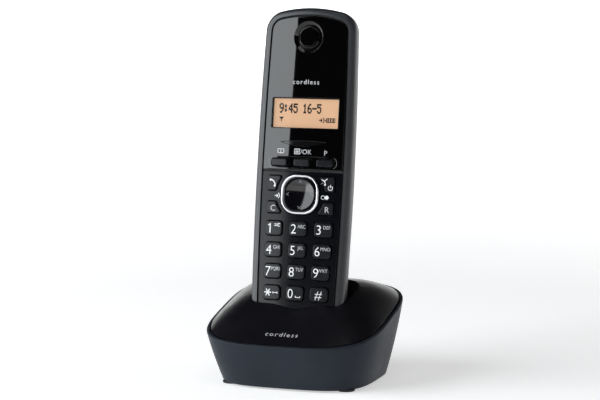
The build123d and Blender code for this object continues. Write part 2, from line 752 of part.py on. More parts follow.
def tub(inset, base_z):
    """The lower case's tapering body, drawn in by the inset."""
    middle = Plane(
        origin=(0, 0, (UNDERSIDE_Z + RIM_MID_Z) / 2),
        x_dir=(1, 0, 0),
        z_dir=(0, -sin(RIM_ANGLE / 2), cos(RIM_ANGLE / 2)),
    )
    bulge = 0.5
    mid_x = (BASE_WIDTH + FOOT_WIDTH) / 4 + bulge - inset
    mid_y = (BASE_DEPTH + FOOT_DEPTH) / 4 + bulge - inset
    with BuildPart() as body:
        with BuildSketch(Plane.XY.offset(base_z)):
            add(superellipse(FOOT_WIDTH / 2 - inset, FOOT_DEPTH / 2 - inset))
        with BuildSketch(middle):
            add(superellipse(mid_x, mid_y / cos(RIM_ANGLE / 2)))
        with BuildSketch(RIM):
            add(superellipse(BASE_WIDTH / 2 - inset, (BASE_DEPTH / 2 - inset) / cos(RIM_ANGLE)))
        loft()
    return body.part


def dome_height(x, y):
    """Height of the cover: a straight slope in front, steep round sides."""
    u = abs(x) / (BASE_WIDTH / 2 - LIP)
    v = abs(y) / (BASE_DEPTH / 2 - LIP)
    out = (u**SQUARENESS + v**SQUARENESS) ** (1 / SQUARENESS)
    softened = ((out**2 + 0.0144) / 1.0144) ** 0.5
    behind = 1 / (1 + exp(-y / 6))
    along = 1.2 + 0.3 * behind
    sideways = u**2 / (u**2 + v**2 + 1e-9)
    power = along + (3.4 - along) * sideways
    return rim_height(y) + DOME_RISE * (1 - softened**power)


def below_dome(drop):
    """Everything below the cover's surface, lowered by the drop."""
    steps = 24
    half_x = BASE_WIDTH / 2 + 1
    half_y = BASE_DEPTH / 2 + 4
    rows = []
    for row in range(steps + 1):
        y = -half_y + 2 * half_y * row / steps
        points = []
        for column in range(steps + 1):
            x = -half_x + 2 * half_x * column / steps
            points.append((x, y, dome_height(x, y) - drop))
        rows.append(points)
    surface = Face.make_surface_from_array_of_points(rows)
    return Solid.extrude(surface, Vector(0, 0, -70))


def pocket(foot, skin):
    """The handset's pocket, flaring into a dished mouth, grown by the skin."""
    middle = (POCKET_FRONT + POCKET_BACK) / 2
    depth = POCKET_FRONT - POCKET_BACK
    grow = skin
    start = foot
    with BuildPart() as body:
        for stop, flare in POCKET_FLARES:
            with BuildSketch(across(start)):
                with Locations((0, middle)):
                    RectangleRounded(2 * (POCKET_HALF + grow), depth + 2 * grow, 7 + grow)
            extrude(amount=start - stop, taper=-flare)
            grow += (stop - start) * tan(radians(flare))
            start = stop
    return body.part


tub_outer = tub(0, UNDERSIDE_Z)
dome_solid = below_dome(0)
pocket_void = pocket(POCKET_FOOT, 0)

BOSS_TOP = 17.0
with BuildPart() as case_bosses:
    with BuildSketch(Plane.XY.offset(PLATE_TOP)):
        with Locations(*SCREW_SPOTS):
            Circle(3.4)
    extrude(amount=BOSS_TOP - PLATE_TOP)
    add(tub_outer, mode=Mode.INTERSECT)

LOCATOR_PLANE = Plane(origin=(LOCATOR.X, 60, LOCATOR.Z), x_dir=(1, 0, 0), z_dir=(0, -1, 0))
with BuildPart() as base_case:
    add(tub_outer)
    fillet(base_case.faces().sort_by(Axis.Z)[-1].edges(), 0.7)
    add(tub(WALL, UNDERSIDE_Z - 0.01), mode=Mode.SUBTRACT)
    with BuildSketch(RIM.offset(-COVER_SEAT)):
        add(superellipse(BASE_WIDTH / 2 - LIP, (BASE_DEPTH / 2 - LIP) / cos(RIM_ANGLE)))
    extrude(amount=10, mode=Mode.SUBTRACT)
    add(case_bosses.part)
    with BuildSketch(Plane.XY.offset(PLATE_TOP)):
        with Locations(*SCREW_SPOTS):
            Circle(1.25)
    extrude(amount=10, mode=Mode.SUBTRACT)
    with BuildSketch(Plane(origin=(0, 30, 0), x_dir=(-1, 0, 0), z_dir=(0, 1, 0))):
        with Locations((-LINE_X, JACK_Z)):
            RectangleRounded(11.0, 8.4, 0.8)
        with Locations((-DC_X, JACK_Z)):
            Circle(4.3)
    extrude(amount=20, mode=Mode.SUBTRACT)
    with BuildSketch(LOCATOR_PLANE):
        Circle(4.4)
    extrude(amount=25, mode=Mode.SUBTRACT)
base_case.part.label = "base_case"
export_step(base_case.part, "parts/base_case.step")

COVER_INSET = LIP + COVER_GAP
INNER_INSET = COVER_INSET + COVER_SKIN
CUP_DEPTH = POCKET_FRONT - POCKET_BACK + 2 * CUP_SKIN
with BuildPart() as cover_hollow:
    with BuildSketch(RIM.offset(-COVER_SEAT - 1)):
        add(superellipse(BASE_WIDTH / 2 - INNER_INSET, (BASE_DEPTH / 2 - INNER_INSET) / cos(RIM_ANGLE)))
    extrude(amount=40)
    add(below_dome(COVER_SKIN * 1.15), mode=Mode.INTERSECT)

with BuildPart() as cover_cavity:
    add(cover_hollow.part)
    add(pocket(POCKET_FOOT - CUP_SKIN, CUP_SKIN), mode=Mode.SUBTRACT)

with BuildPart() as base_cover:
    with BuildSketch(RIM.offset(-COVER_SEAT)):
        add(superellipse(BASE_WIDTH / 2 - COVER_INSET, (BASE_DEPTH / 2 - COVER_INSET) / cos(RIM_ANGLE)))
    extrude(amount=40)
    add(dome_solid, mode=Mode.INTERSECT)
    add(cover_cavity.part, mode=Mode.SUBTRACT)
    with BuildSketch(across(POCKET_FOOT - CUP_SKIN)):
        with Locations((0, (POCKET_FRONT + POCKET_BACK) / 2)):
            RectangleRounded(2 * (POCKET_HALF + CUP_SKIN), CUP_DEPTH, 7 + CUP_SKIN)
    extrude(amount=POCKET_FOOT - CUP_SKIN - 8)
    add(pocket_void, mode=Mode.SUBTRACT)
    with BuildSketch(across(POCKET_FOOT - 5)):
        with Locations((-CONTACT_X, CONTACT_H), (CONTACT_X, CONTACT_H)):
            Circle(1.4)
    extrude(amount=-8, mode=Mode.SUBTRACT)
base_cover.part.label = "base_cover"
export_step(base_cover.part, "parts/base_cover.step")

PLATE_INSET = WALL + 0.25
POSTS = [(-18, -20), (18, -20), (-18, 27), (18, 27)]
BOARD_Z = 5.4
BOARD_SKIN = 1.6
with BuildPart() as bottom_plate:
    with BuildSketch(Plane.XY.offset(UNDERSIDE_Z)):
        add(superellipse(FOOT_WIDTH / 2 - PLATE_INSET, FOOT_DEPTH / 2 - PLATE_INSET))
    extrude(amount=PLATE_SKIN)
    with BuildSketch(Plane.XY.offset(PLATE_TOP)):
        with Locations(*POSTS):
            Circle(2.2)
    extrude(amount=BOARD_Z - PLATE_TOP)
    with BuildSketch(Plane.XY.offset(UNDERSIDE_Z)):
        with Locations(*SCREW_SPOTS):
            Circle(2.5)
    extrude(amount=1.0, mode=Mode.SUBTRACT)
    with BuildSketch(Plane.XY.offset(UNDERSIDE_Z)):
        with Locations(*SCREW_SPOTS):
            Circle(1.4)
        with GridLocations(6, 3.2, 4, 5):
            SlotOverall(4.4, 1.2)
    extrude(amount=PLATE_SKIN, mode=Mode.SUBTRACT)
bottom_plate.part.label = "bottom_plate"
export_step(bottom_plate.part, "parts/bottom_plate.step")

with BuildPart() as base_feet:
    with BuildSketch(Plane.XY):
        with Locations(*FOOT_SPOTS):
            Circle(4.3)
    extrude(amount=UNDERSIDE_Z)
    fillet(base_feet.faces().group_by(Axis.Z)[0].edges(), 0.4)
base_feet.part.label = "base_feet"
export_step(base_feet.part, "parts/base_feet.step")

HEAD_Z = UNDERSIDE_Z + 1.0
with BuildPart() as base_screws:
    with BuildSketch(Plane.XY.offset(HEAD_Z)):
        with Locations(*SCREW_SPOTS):
            Circle(1.2)
    extrude(amount=9)
    with BuildSketch(Plane.XY.offset(UNDERSIDE_Z + 0.1)):
        with Locations(*SCREW_SPOTS):
            Circle(2.3)
    extrude(amount=0.9)
    with BuildSketch(Plane.XY.offset(UNDERSIDE_Z + 0.1)):
        with Locations(*SCREW_SPOTS):
            Rectangle(2.8, 0.6)
            Rectangle(0.6, 2.8)
    extrude(amount=0.5, mode=Mode.SUBTRACT)
base_screws.part.label = "base_screws"
export_step(base_screws.part, "parts/base_screws.step")

BOARD_TOP_Z = BOARD_Z + BOARD_SKIN
with BuildPart() as base_board:
    with BuildSketch(Plane.XY.offset(BOARD_Z)):
        with Locations((0, 3.5)):
            RectangleRounded(44, 56, 1)
    extrude(amount=BOARD_SKIN)
base_board.part.label = "base_board"
export_step(base_board.part, "parts/base_board.step")

with BuildPart() as base_shield:
    with BuildSketch(Plane.XY.offset(BOARD_TOP_Z)):
        with Locations((0, -14)):
            Rectangle(28, 18)
    extrude(amount=2.6)
    with BuildSketch(Plane.XY.offset(BOARD_TOP_Z)):
        with Locations((0, -14)):
            Rectangle(27.2, 17.2)
    extrude(amount=2.2, mode=Mode.SUBTRACT)
base_shield.part.label = "base_shield"
export_step(base_shield.part, "parts/base_shield.step")

ANTENNA_PATH = [(-16, BOARD_TOP_Z), (-16, 13.6), (2, 13.6), (2, 9.5), (0, 9.5), (0, 11.6), (-14, 11.6)]
ANTENNA_PATH.append((-14, BOARD_TOP_Z))
with BuildPart() as base_antennas:
    for side in (-1, 1):
        with BuildSketch(Plane.YZ.offset(side * 20.5 - 0.3)):
            with BuildLine():
                Polyline(*ANTENNA_PATH, close=True)
            make_face()
        extrude(amount=0.6)
base_antennas.part.label = "base_antennas"
export_step(base_antennas.part, "parts/base_antennas.step")

with BuildPart() as line_jack:
    with BuildSketch(Plane.XY.offset(BOARD_TOP_Z)):
        with Locations((LINE_X, 27.0)):
            Rectangle(13, 13.6)
    extrude(amount=10.6)
    with BuildSketch(Plane(origin=(0, 22.2, 0), x_dir=(-1, 0, 0), z_dir=(0, 1, 0))):
        with Locations((-LINE_X, JACK_Z)):
            Rectangle(9.8, 6.6)
        with Locations((-LINE_X, JACK_Z - 3.4)):
            Rectangle(3.4, 1.4)
    extrude(amount=20, mode=Mode.SUBTRACT)
line_jack.part.label = "line_jack"
export_step(line_jack.part, "parts/line_jack.step")

with BuildPart() as dc_jack:
    with BuildSketch(Plane.XY.offset(BOARD_TOP_Z)):
        with Locations((DC_X, 27.7)):
            Rectangle(9.4, 13.0)
    extrude(amount=9.8)
    with BuildSketch(Plane(origin=(0, 23.6, 0), x_dir=(-1, 0, 0), z_dir=(0, 1, 0))):
        with Locations((-DC_X, JACK_Z)):
            Circle(2.85)
            Circle(0.85, mode=Mode.SUBTRACT)
    extrude(amount=20, mode=Mode.SUBTRACT)
dc_jack.part.label = "dc_jack"
export_step(dc_jack.part, "parts/dc_jack.step")

# --------------------------------------------------------- charging pins
PIN_RADIUS = 1.15
PIN_TOP = -5.1                  # just below the handset's contacts
PIN_FLANGE = 1.75
PIN_FLANGE_TOP = POCKET_FOOT - CUP_SKIN - 0.1
SPRING_TOP = PIN_FLANGE_TOP - 0.9
BLOCK_FOOT = -14.6
WELL_FOOT = -13.2

with BuildPart() as charge_block:
    with BuildSketch(across(POCKET_FOOT - CUP_SKIN)):
        with Locations((0, CONTACT_H)):
            RectangleRounded(24, 7.6, 1)
    extrude(amount=POCKET_FOOT - CUP_SKIN - BLOCK_FOOT)
    with BuildSketch(across(POCKET_FOOT - CUP_SKIN)):
        with Locations((-CONTACT_X, CONTACT_H), (CONTACT_X, CONTACT_H)):
            Circle(2.1)
    extrude(amount=POCKET_FOOT - CUP_SKIN - WELL_FOOT, mode=Mode.SUBTRACT)
charge_block.part.label = "charge_block"
export_step(charge_block.part, "parts/charge_block.step")

for side, hand in ((-1, "left"), (1, "right")):
    with BuildPart() as charge_pin:
        with BuildSketch(across(PIN_TOP)):
            with Locations((side * CONTACT_X, CONTACT_H)):
                Circle(PIN_RADIUS)
        extrude(amount=PIN_TOP - PIN_FLANGE_TOP + 0.4)
        fillet(charge_pin.faces().sort_by(UPWARD)[-1].edges(), 0.7)
        with BuildSketch(across(PIN_FLANGE_TOP)):
            with Locations((side * CONTACT_X, CONTACT_H)):
                Circle(PIN_FLANGE)
        extrude(amount=PIN_FLANGE_TOP - SPRING_TOP)
    charge_pin.part.label = f"charge_pin_{hand}"
    export_step(charge_pin.part, f"parts/charge_pin_{hand}.step")

    with BuildPart() as charge_spring:
        spring_height = SPRING_TOP - WELL_FOOT
        turns = 5
        foot = FACE.from_local_coords(Vector(side * CONTACT_X, WELL_FOOT, CONTACT_H))
        for turn in range(turns):
            rise = turn * (spring_height - 0.5) / (turns - 1)
            with BuildSketch(Plane(foot + FACE.y_dir * rise, (1, 0, 0), FACE.y_dir)):
                Circle(1.6)
                Circle(1.1, mode=Mode.SUBTRACT)
            extrude(amount=0.5)
        for turn in range(turns - 1):
            rise = turn * (spring_height - 0.5) / (turns - 1)
            with BuildSketch(Plane(foot + FACE.y_dir * rise, (1, 0, 0), FACE.y_dir)):
                with PolarLocations(1.35, 1, 180 * turn):
                    Circle(0.2)
            extrude(amount=(spring_height - 0.5) / (turns - 1) + 0.2)
    charge_spring.part.label = f"charge_spring_{hand}"
    export_step(charge_spring.part, f"parts/charge_spring_{hand}.step")

with BuildPart() as locator_button:
    with BuildSketch(LOCATOR_PLANE.offset(60 - 40.6)):
        Circle(4.0)
    extrude(amount=6.2)
    fillet(locator_button.faces().sort_by(Axis.Y)[-1].edges(), 0.6)
    with BuildSketch(LOCATOR_PLANE.offset(60 - 34.4)):
        Circle(5.2)
    extrude(amount=0.9)
locator_button.part.label = "locator_button"
export_step(locator_button.part, "parts/locator_button.step")
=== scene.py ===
import json
from math import atan2, cos, pi, radians, sin

import bmesh
import bpy
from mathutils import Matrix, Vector
from mathutils.bvhtree import BVHTree


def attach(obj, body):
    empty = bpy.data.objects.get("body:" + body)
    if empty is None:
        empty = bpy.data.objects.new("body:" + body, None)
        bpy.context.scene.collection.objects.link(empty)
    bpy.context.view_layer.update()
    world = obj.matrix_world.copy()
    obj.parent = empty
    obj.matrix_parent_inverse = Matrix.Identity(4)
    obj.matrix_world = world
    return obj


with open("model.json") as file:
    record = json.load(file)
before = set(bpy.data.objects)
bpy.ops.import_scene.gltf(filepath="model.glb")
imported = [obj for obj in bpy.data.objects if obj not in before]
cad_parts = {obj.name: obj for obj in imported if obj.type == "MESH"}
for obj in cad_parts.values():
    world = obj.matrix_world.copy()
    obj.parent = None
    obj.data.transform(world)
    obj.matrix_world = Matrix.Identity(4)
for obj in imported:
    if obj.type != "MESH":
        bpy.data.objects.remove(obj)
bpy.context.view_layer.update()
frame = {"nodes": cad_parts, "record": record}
nodes = frame["nodes"]

MM = 0.001
LEAN = radians(9.03)            # the handset leans back in its cradle
RIGHT = Vector((1, 0, 0))
UPWARD = Vector((0, sin(LEAN), cos(LEAN)))
OUTWARD = Vector((0, -cos(LEAN), sin(LEAN)))
SEAT = Vector((0, -18.77, 26.98)) * MM


def on_handset(x, v, h):
    """A point across, up and out of the handset's front face, in millimetres."""
    return SEAT + (RIGHT * x + UPWARD * v + OUTWARD * h) * MM


# ------------------------------------------------------------- materials
def new_material(name):
    material = bpy.data.materials.new(name)
    material.use_nodes = True
    tree = material.node_tree
    shader = tree.nodes["Principled BSDF"]
    place = tree.nodes.new("ShaderNodeTexCoord")
    return material, tree, shader, place.outputs["Object"]


def noise(tree, coords, scale, detail=3.0, rough=0.55):
    node = tree.nodes.new("ShaderNodeTexNoise")
    node.inputs["Scale"].default_value = scale
    node.inputs["Detail"].default_value = detail
    node.inputs["Roughness"].default_value = rough
    tree.links.new(coords, node.inputs["Vector"])
    return node.outputs["Fac"]


def ramp(tree, factor, low, high, start=0.35, end=0.65):
    node = tree.nodes.new("ShaderNodeValToRGB")
    node.color_ramp.elements[0].position = start
    node.color_ramp.elements[0].color = (*low, 1)
    node.color_ramp.elements[1].position = end
    node.color_ramp.elements[1].color = (*high, 1)
    tree.links.new(factor, node.inputs["Fac"])
    return node.outputs["Color"]


def spread(tree, factor, low, high):
    node = tree.nodes.new("ShaderNodeMapRange")
    node.inputs["From Min"].default_value = 0.3
    node.inputs["From Max"].default_value = 0.7
    node.inputs["To Min"].default_value = low
    node.inputs["To Max"].default_value = high
    tree.links.new(factor, node.inputs["Value"])
    return node.outputs["Result"]


def bump(tree, shader, height, distance, edge=0.0):
    """Relief from a height, over edges rounded by edge millimetres."""
    node = tree.nodes.new("ShaderNodeBump")
    if edge:
        rounded = tree.nodes.new("ShaderNodeBevel")
        rounded.samples = 4
        rounded.inputs["Radius"].default_value = edge * MM
        tree.links.new(rounded.outputs["Normal"], node.inputs["Normal"])
    node.inputs["Distance"].default_value = distance
    tree.links.new(height, node.inputs["Height"])
    tree.links.new(node.outputs["Normal"], shader.inputs["Normal"])


def shade(colour, factor):
    return tuple(channel * factor for channel in colour)


def plastic(name, colour, rough, grain=2500, depth=0.004, mottle=0.08, specular=0.5, edge=0.0):
    """Moulded plastic: eroded grain in the bump, faint mottling, uneven sheen."""
    material, tree, shader, coords = new_material(name)
    cloud = noise(tree, coords, 60, 4)
    tint = ramp(tree, cloud, shade(colour, 1 - mottle), shade(colour, 1 + mottle))
    tree.links.new(tint, shader.inputs["Base Color"])
    smear = noise(tree, coords, 140, 5)
    tree.links.new(spread(tree, smear, rough * 0.93, rough * 1.07), shader.inputs["Roughness"])
    shader.inputs["Specular IOR Level"].default_value = specular
    bump(tree, shader, noise(tree, coords, grain, 2), depth * MM, edge)
    return material


def metal(name, colour, rough, grain=900, depth=0.002):
    material, tree, shader, coords = new_material(name)
    tint = ramp(tree, noise(tree, coords, 80), shade(colour, 0.92), colour)
    tree.links.new(tint, shader.inputs["Base Color"])
    sheen = spread(tree, noise(tree, coords, 200), rough * 0.8, rough * 1.2)
    tree.links.new(sheen, shader.inputs["Roughness"])
    shader.inputs["Metallic"].default_value = 1.0
    bump(tree, shader, noise(tree, coords, grain, 2), depth * MM)
    return material


base_plastic = plastic("base_shell", (0.021, 0.026, 0.034), 0.42, depth=0.006, specular=0.08, edge=0.5)
cover_plastic = plastic("cover_shell", (0.0026, 0.0024, 0.0046), 0.33,
                        grain=1200, depth=0.001, specular=0.42)
case_plastic = plastic("case_plastic", (0.006, 0.008, 0.014), 0.38, depth=0.006, specular=0.4)
rim_plastic = plastic("rim_plastic", (0.016, 0.018, 0.021), 0.40, grain=3200, depth=0.012, mottle=0.12)
fascia_plastic = plastic("fascia_gloss", (0.0006, 0.0006, 0.0008), 0.03,
                         grain=300, depth=0.0005, mottle=0.02, edge=0.3)
bezel_plastic = plastic("bezel_satin", (0.0014, 0.0019, 0.0036), 0.17, depth=0.003, specular=0.17)
key_plastic = plastic("key_plastic", (0.0062, 0.0069, 0.0092), 0.28, depth=0.003, specular=0.2, edge=0.3)
button_plastic = plastic("button_plastic", (0.05, 0.052, 0.058), 0.40)
nav_plastic = plastic("nav_gloss", (0.002, 0.002, 0.003), 0.07, grain=400, depth=0.0005, mottle=0.02)
lens_plastic = plastic("lens_gloss", (0.004, 0.004, 0.005), 0.08, grain=400, depth=0.0005)
foot_rubber = plastic("foot_rubber", (0.012, 0.012, 0.012), 0.75, grain=1500, depth=0.02)
jack_plastic = plastic("jack_plastic", (0.006, 0.006, 0.007), 0.55)
membrane_rubber = plastic("membrane_rubber", (0.05, 0.05, 0.055), 0.7)
diffuser_plastic = plastic("diffuser_white", (0.75, 0.75, 0.72), 0.6)
board_laminate = plastic("circuit_board", (0.01, 0.10, 0.04), 0.3)
cell_wrap = plastic("cell_wrap", (0.03, 0.10, 0.28), 0.3)
ring_chrome = metal("ring_chrome", (0.62, 0.62, 0.65), 0.30, depth=0.0003)
tinned_steel = metal("tinned_steel", (0.62, 0.61, 0.58), 0.3)
spring_steel = metal("spring_steel", (0.55, 0.56, 0.58), 0.28)
zinc_steel = metal("zinc_steel", (0.5, 0.5, 0.52), 0.35)
gold_contact = metal("gold_contact", (0.85, 0.58, 0.22), 0.22)
speaker_metal = metal("speaker_metal", (0.5, 0.5, 0.52), 0.4)


def clear_window():
    material, tree, shader, coords = new_material("window_clear")
    tint = ramp(tree, noise(tree, coords, 30), (0.0, 0.0, 0.0), (0.01, 0.008, 0.006))
    tree.links.new(tint, shader.inputs["Base Color"])
    shader.inputs["Alpha"].default_value = 0.10
    shader.inputs["Roughness"].default_value = 0.03
    return material


def lit_display():
    """Amber reflective panel with a little random unevenness in tone; its glow is painted light standing
    in for the light it reflects.
    """
    material, tree, shader, coords = new_material("lcd_amber")
    glow = noise(tree, coords, 24, 1)
    tint = ramp(tree, glow, (0.50, 0.285, 0.16), (0.60, 0.375, 0.222), 0.2, 0.8)
    tree.links.new(tint, shader.inputs["Base Color"])
    tree.links.new(tint, shader.inputs["Emission Color"])
    # Painted light: the panel glows though it is no lamp, to stay bright behind the window.
    shader.inputs["Emission Strength"].default_value = 0.62
    shader.inputs["Roughness"].default_value = 0.35
    return material


def ink(name, colour, rough=0.5, glow=0.0):
    material, tree, shader, coords = new_material(name)
    tint = ramp(tree, noise(tree, coords, 1800, 2), shade(colour, 0.9), colour)
    tree.links.new(tint, shader.inputs["Base Color"])
    tree.links.new(tint, shader.inputs["Emission Color"])
    # Painted light: glow makes a print shine though it is no lamp.
    shader.inputs["Emission Strength"].default_value = glow
    shader.inputs["Roughness"].default_value = rough
    return material


# White and grey print glow a little: painted light that brightens the marks.
white_ink = ink("ink_white", (0.72, 0.73, 0.75), 0.5, 0.18)
grey_ink = ink("ink_grey", (0.50, 0.51, 0.54), 0.5, 0.12)
# Dim grey serves as print on the navigation key and as painted highlight round the soft keys' slot.
dim_ink_and_highlight = ink("ink_dim_and_highlight", (0.16, 0.165, 0.18), 0.5)
# Near black serves as the display's marks and as painted shade along the display window's edge.
display_ink_and_shade = ink("ink_display_and_shade", (0.002, 0.001, 0.001), 0.8)

BY_SLOT = {
    "base_shell": base_plastic, "cover_shell": cover_plastic, "case_plastic": case_plastic,
    "rim_plastic": rim_plastic, "fascia_gloss": fascia_plastic, "bezel_satin": bezel_plastic,
    "key_plastic": key_plastic, "button_plastic": button_plastic, "nav_gloss": nav_plastic,
    "ring_chrome": ring_chrome, "lens_gloss": lens_plastic, "window_clear": clear_window(),
    "lcd_amber": lit_display(), "diffuser_white": diffuser_plastic, "membrane_rubber": membrane_rubber,
    "foot_rubber": foot_rubber, "circuit_board": board_laminate, "tinned_steel": tinned_steel,
    "spring_steel": spring_steel, "zinc_steel": zinc_steel, "gold_contact": gold_contact,
    "jack_plastic": jack_plastic, "speaker_metal": speaker_metal, "cell_wrap": cell_wrap,
}
for part in frame["record"]["subparts"]:
    node = nodes[part["node"]]
    node.data.materials.clear()
    node.data.materials.append(BY_SLOT[part["material_slot"]])


# ---------------------------------------------------------------- prints
surfaces = {}


def surface(node):
    """A search tree over a CAD node's triangles."""
    if node not in surfaces:
        mesh = nodes[node].data
        mesh.calc_loop_triangles()
        corners = [vertex.co.copy() for vertex in mesh.vertices]
        triangles = [tuple(triangle.vertices) for triangle in mesh.loop_triangles]
        surfaces[node] = BVHTree.FromPolygons(corners, triangles)
    return surfaces[node]


class Sheet:
    """A flat drawing plane in front of a surface: marks are dropped onto the nodes."""

    def __init__(self, origin, across, up, targets, body, lift=0.03):
        self.origin = origin
        self.across = across.normalized()
        self.up = up.normalized()
        self.out = self.across.cross(self.up).normalized()
        self.targets = targets
        self.body = body
        self.lift = lift * MM

    def drop(self, a, b):
        start = self.origin + (self.across * a + self.up * b) * MM + self.out * 0.01
        best = None
        for target in self.targets:
            hit, normal, _, distance = surface(target).ray_cast(start, -self.out, 0.03)
            if hit is not None and (best is None or distance < best[1]):
                best = (hit, distance)
        if best is None:
            return self.origin + (self.across * a + self.up * b) * MM
        return best[0] + self.out * self.lift

    def print_mesh(self, name, flat, material):
        """flat is a bmesh in millimetres on this plane; it becomes a piece."""
        for vertex in flat.verts:
            vertex.co = self.drop(vertex.co.x, vertex.co.y)
        mesh = bpy.data.meshes.new(name)
        flat.to_mesh(mesh)
        flat.free()
        piece = bpy.data.objects.new(name, mesh)
        bpy.context.scene.collection.objects.link(piece)
        mesh.materials.append(material)
        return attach(piece, self.body)


def handset_sheet(targets, body="handset", depth=0.0, lift=0.03):
    return Sheet(on_handset(0, 0, depth), RIGHT, UPWARD, targets, body, lift)


def subdivide_long(flat, longest):
    for _ in range(3):
        edges = [edge for edge in flat.edges if edge.calc_length() > longest]
        if not edges:
            return
        bmesh.ops.subdivide_edges(flat, edges=edges, cuts=1)
        bmesh.ops.triangulate(flat, faces=[face for face in flat.faces if len(face.verts) > 4])


def lettering(name, text, sheet, x, v, cap, material, weight=0.0, stretch=1.0, slant=0.0, spacing=1.0):
    """Printed characters, cap millimetres tall, centred at x, v on the sheet."""
    curve = bpy.data.curves.new(name + "_outline", "FONT")
    curve.body = text
    curve.size = 10
    curve.offset = weight
    curve.resolution_u = 3
    curve.space_character = spacing
    writing = bpy.data.objects.new(name + "_outline", curve)
    bpy.context.scene.collection.objects.link(writing)
    bpy.context.view_layer.update()
    mesh = bpy.data.meshes.new_from_object(writing.evaluated_get(bpy.context.evaluated_depsgraph_get()))
    flat = bmesh.new()
    flat.from_mesh(mesh)
    bpy.data.objects.remove(writing)
    bpy.data.curves.remove(curve)
    bpy.data.meshes.remove(mesh)
    factor = cap / 7.0
    xs = [vertex.co.x for vertex in flat.verts]
    middle = (min(xs) + max(xs)) / 2
    for vertex in flat.verts:
        a = (vertex.co.x - middle) * factor * stretch
        b = (vertex.co.y - 3.5) * factor
        vertex.co = Vector((x + a + b * slant, v + b, 0))
    return sheet.print_mesh(name, flat, material)


def polygons(name, shapes, sheet, x, v, material, longest=3.0):
    """Printed marks given as closed outlines in millimetres round x, v."""
    flat = bmesh.new()
    for shape in shapes:
        corners = [flat.verts.new((x + a, v + b, 0)) for a, b in shape]
        flat.faces.new(corners)
    bmesh.ops.triangulate(flat, faces=flat.faces[:])
    subdivide_long(flat, longest)
    return sheet.print_mesh(name, flat, material)


def bar(x0, v0, x1, v1, width):
    """A straight stroke from one point to another."""
    angle = atan2(v1 - v0, x1 - x0)
    a = -sin(angle) * width / 2
    b = cos(angle) * width / 2
    return [(x0 + a, v0 + b), (x0 - a, v0 - b), (x1 - a, v1 - b), (x1 + a, v1 + b)]


def arc(x, v, radius, start, end, width, steps=12):
    """Quads along an arc, angles in degrees."""
    quads = []
    for step in range(steps):
        a0 = radians(start + (end - start) * step / steps)
        a1 = radians(start + (end - start) * (step + 1) / steps)
        inner = radius - width / 2
        outer = radius + width / 2
        quads.append([
            (x + inner * cos(a0), v + inner * sin(a0)), (x + outer * cos(a0), v + outer * sin(a0)),
            (x + outer * cos(a1), v + outer * sin(a1)), (x + inner * cos(a1), v + inner * sin(a1)),
        ])
    return quads


def disc(x, v, radius, steps=16):
    turns = [2 * pi * step / steps for step in range(steps)]
    return [(x + radius * cos(turn), v + radius * sin(turn)) for turn in turns]


def shifted(shapes, x, v, turn=0.0, size=1.0):
    c = cos(radians(turn)) * size
    s = sin(radians(turn)) * size
    return [[(x + a * c - b * s, v + a * s + b * c) for a, b in shape] for shape in shapes]


HANDSET_ICON = arc(0, -2.6, 3.0, 50, 130, 0.55, 8)
HANDSET_ICON += [bar(side * 1.75, -0.1, side * 2.2, -1.0, 0.95) for side in (-1, 1)]

DIAL_TOP = 49.45
DIAL_PITCH = 10.58
COLUMN_PITCH = 12.9
COLUMN_TAPER = 0.21             # the columns draw together by this much a row
DIGIT_CAP = 4.7
DIGIT_LEFT = 2.15               # digits stand left of the key's middle
LETTER_CAP = 1.75
LEGENDS = [
    ("1", ""), ("2", "ABC"), ("3", "DEF"), ("4", "GHI"), ("5", "JKL"), ("6", "MNO"),
    ("7", "PQRS"), ("8", "TUV"), ("9", "WXYZ"), ("*", ""), ("0", ""), ("#", ""),
]
for index, (digit, letters) in enumerate(LEGENDS):
    row, column = divmod(index, 3)
    x = (column - 1) * (COLUMN_PITCH - COLUMN_TAPER * row)
    v = DIAL_TOP - DIAL_PITCH * row
    key = "key_" + {"*": "star", "#": "hash"}.get(digit, digit)
    sheet = handset_sheet([key], key)
    if digit == "#":
        lettering(key + "_print", "#", sheet, x, v, 4.4, white_ink, -0.08, slant=0.1)
    elif digit == "*":
        strokes = [bar(-1.9 * cos(a), -1.9 * sin(a), 1.9 * cos(a), 1.9 * sin(a), 0.5)
                   for a in (0, pi / 3, 2 * pi / 3)]
        polygons(key + "_print", strokes, sheet, x - 1.9, v, white_ink)
        small = [bar(0.7, 0, 3.4, 0, 0.3), bar(0.9, -0.5, 0.9, 0.5, 0.3), bar(3.2, -0.5, 3.2, 0.5, 0.3)]
        polygons(key + "_small", small, sheet, x, v, white_ink)
    else:
        if digit == "1":
            one = [bar(0.35, -2.35, 0.35, 2.35, 0.55), bar(0.45, 2.15, -0.75, 1.25, 0.5)]
            polygons(key + "_print", one, sheet, x - DIGIT_LEFT, v, white_ink)
        else:
            lettering(key + "_print", digit, sheet, x - DIGIT_LEFT, v, DIGIT_CAP, white_ink,
                      -0.08, stretch=0.95)
        if letters:
            lettering(key + "_letters", letters, sheet, x + 1.9, v + 1.25, LETTER_CAP, grey_ink,
                      -0.04, stretch=0.85)
        elif digit == "1":
            marks = [bar(0.6, 1.2, 1.9, 1.2, 0.35), bar(0.6, 2.0, 1.9, 2.0, 0.35)]
            marks += arc(3.0, 1.6, 0.7, 40, 320, 0.35, 8)
            polygons(key + "_small", marks, sheet, x - 0.1, v, white_ink)
        elif digit == "0":
            tray = [bar(0.8, -1.2, 3.4, -1.2, 0.35)]
            tray += [bar(end, -1.2, end, -0.5, 0.35) for end in (0.9, 3.3)]
            polygons(key + "_small", tray, sheet, x - 0.3, v - 0.6, white_ink)


